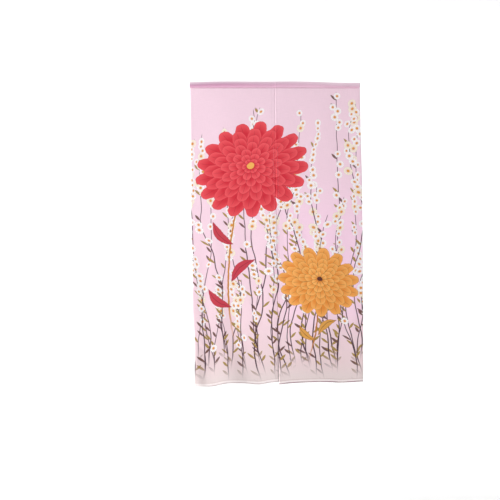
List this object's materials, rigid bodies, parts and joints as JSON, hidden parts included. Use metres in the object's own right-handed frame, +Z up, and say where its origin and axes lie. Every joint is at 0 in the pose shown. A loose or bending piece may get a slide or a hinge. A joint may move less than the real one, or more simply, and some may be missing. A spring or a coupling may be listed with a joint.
{
  "type": "noren curtain",
  "caption": "Split doorway curtain of printed cloth: widths seamed at the top, parted by a slit below, hung from a rod pocket.",
  "frame": {"origin": "the middle of the curtain's top edge, on top of its rod pocket", "axes": "+Z up, +X to the right of someone facing the printed side, which looks along -Y"},
  "size_m": [0.8665, 0.0303, 1.526],
  "materials": {
    "heading_cloth": "dyed polyester, two layers thick",
    "panel_left_cloth": "printed polyester",
    "panel_right_cloth": "printed polyester"
  },
  "bodies": {
    "root": {"heading": "heading_cloth", "panel_left": "panel_left_cloth", "panel_right": "panel_right_cloth"}
  },
  "joints": []
}
